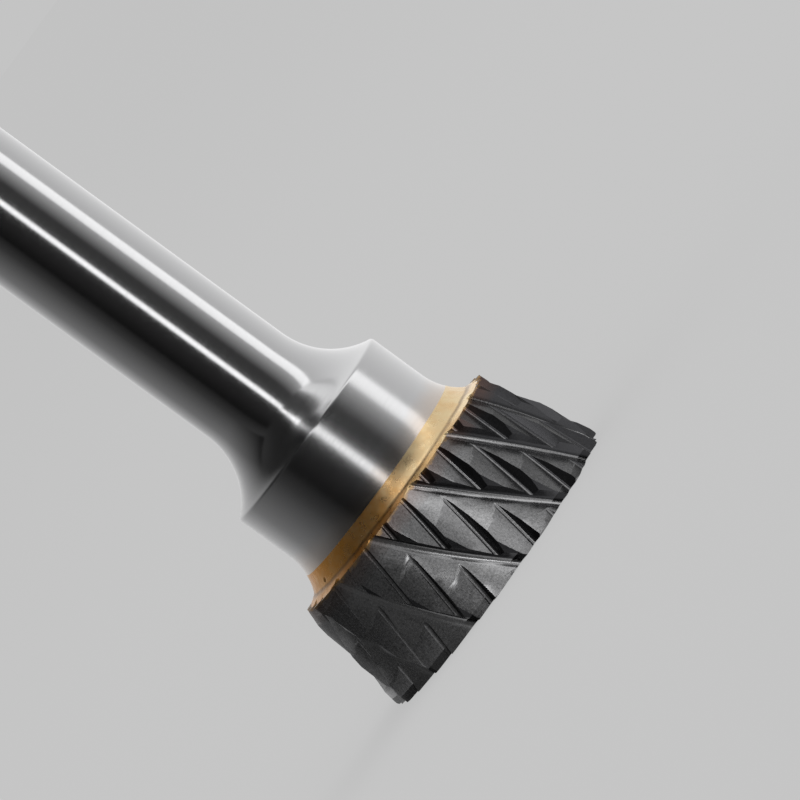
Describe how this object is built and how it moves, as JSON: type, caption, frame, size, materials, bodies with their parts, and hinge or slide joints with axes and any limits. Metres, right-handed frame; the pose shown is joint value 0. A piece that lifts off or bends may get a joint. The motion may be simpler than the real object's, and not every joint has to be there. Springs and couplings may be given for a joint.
{
  "type": "carbide burr",
  "caption": "Inverted cone rotary burr: a double cut carbide head brazed to a round steel shank with a collar.",
  "frame": {"origin": "centre of the flat cutting end of the head", "axes": "+Z along the tool axis, from the head towards the shank; X and Y across the tool"},
  "size_m": [0.0158, 0.0157, 0.051],
  "materials": {
    "cemented_carbide": "ground tungsten carbide, satin dark grey",
    "braze": "silver braze alloy, pale gold, slightly uneven",
    "ground_steel": "centreless ground tool steel, bright"
  },
  "bodies": {
    "root": {"cutting_head": "cemented_carbide", "brazed_seam": "braze", "shank": "ground_steel"}
  },
  "joints": []
}
